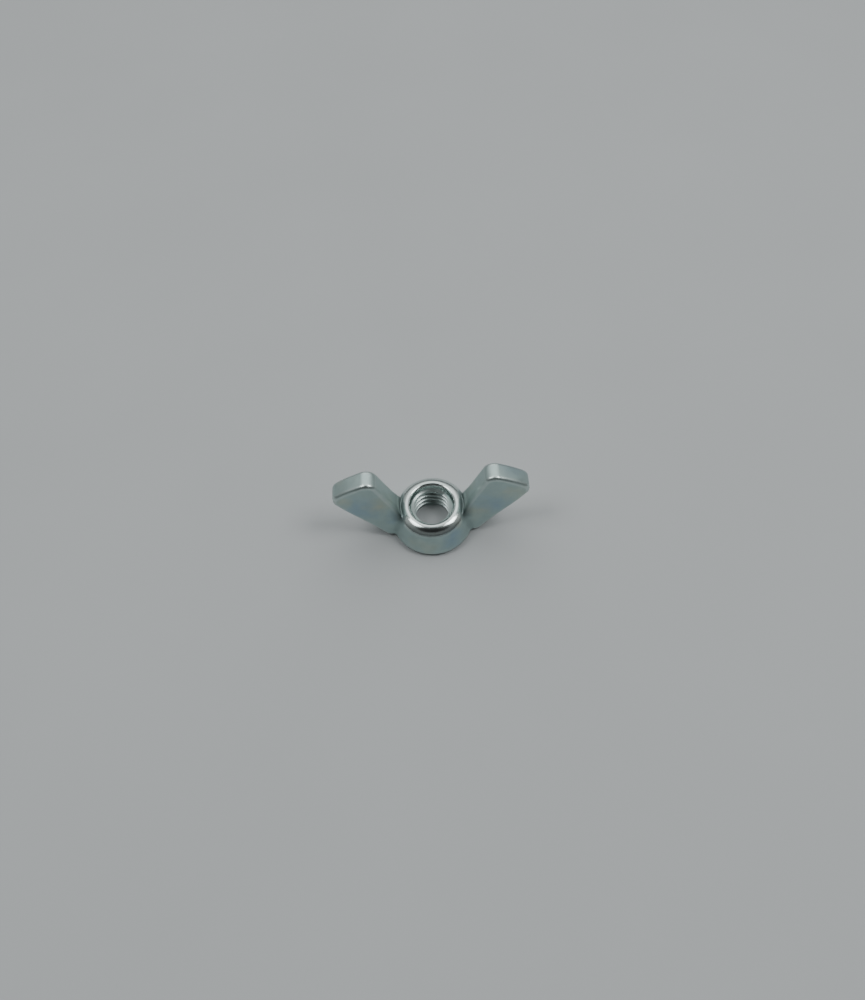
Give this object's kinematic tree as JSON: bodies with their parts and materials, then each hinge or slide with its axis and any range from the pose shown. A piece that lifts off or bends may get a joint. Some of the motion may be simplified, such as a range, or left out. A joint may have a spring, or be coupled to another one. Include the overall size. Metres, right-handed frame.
{
  "type": "wing nut",
  "caption": "Forged steel wing nut: a conical hub with a threaded through hole and a flat seat, and upswept wings that are turned by hand.",
  "frame": {"origin": "centre of the seating face, on the thread axis", "axes": "+Z along the thread axis from the seat towards the wings' tips, +X along the span of the wings"},
  "size_m": [0.027, 0.0118, 0.0128],
  "materials": {
    "zinc_plated_steel": "bright zinc plate with a clear blue passivate, satin on the forged faces"
  },
  "bodies": {
    "root": {"wing_nut": "zinc_plated_steel"}
  },
  "joints": []
}
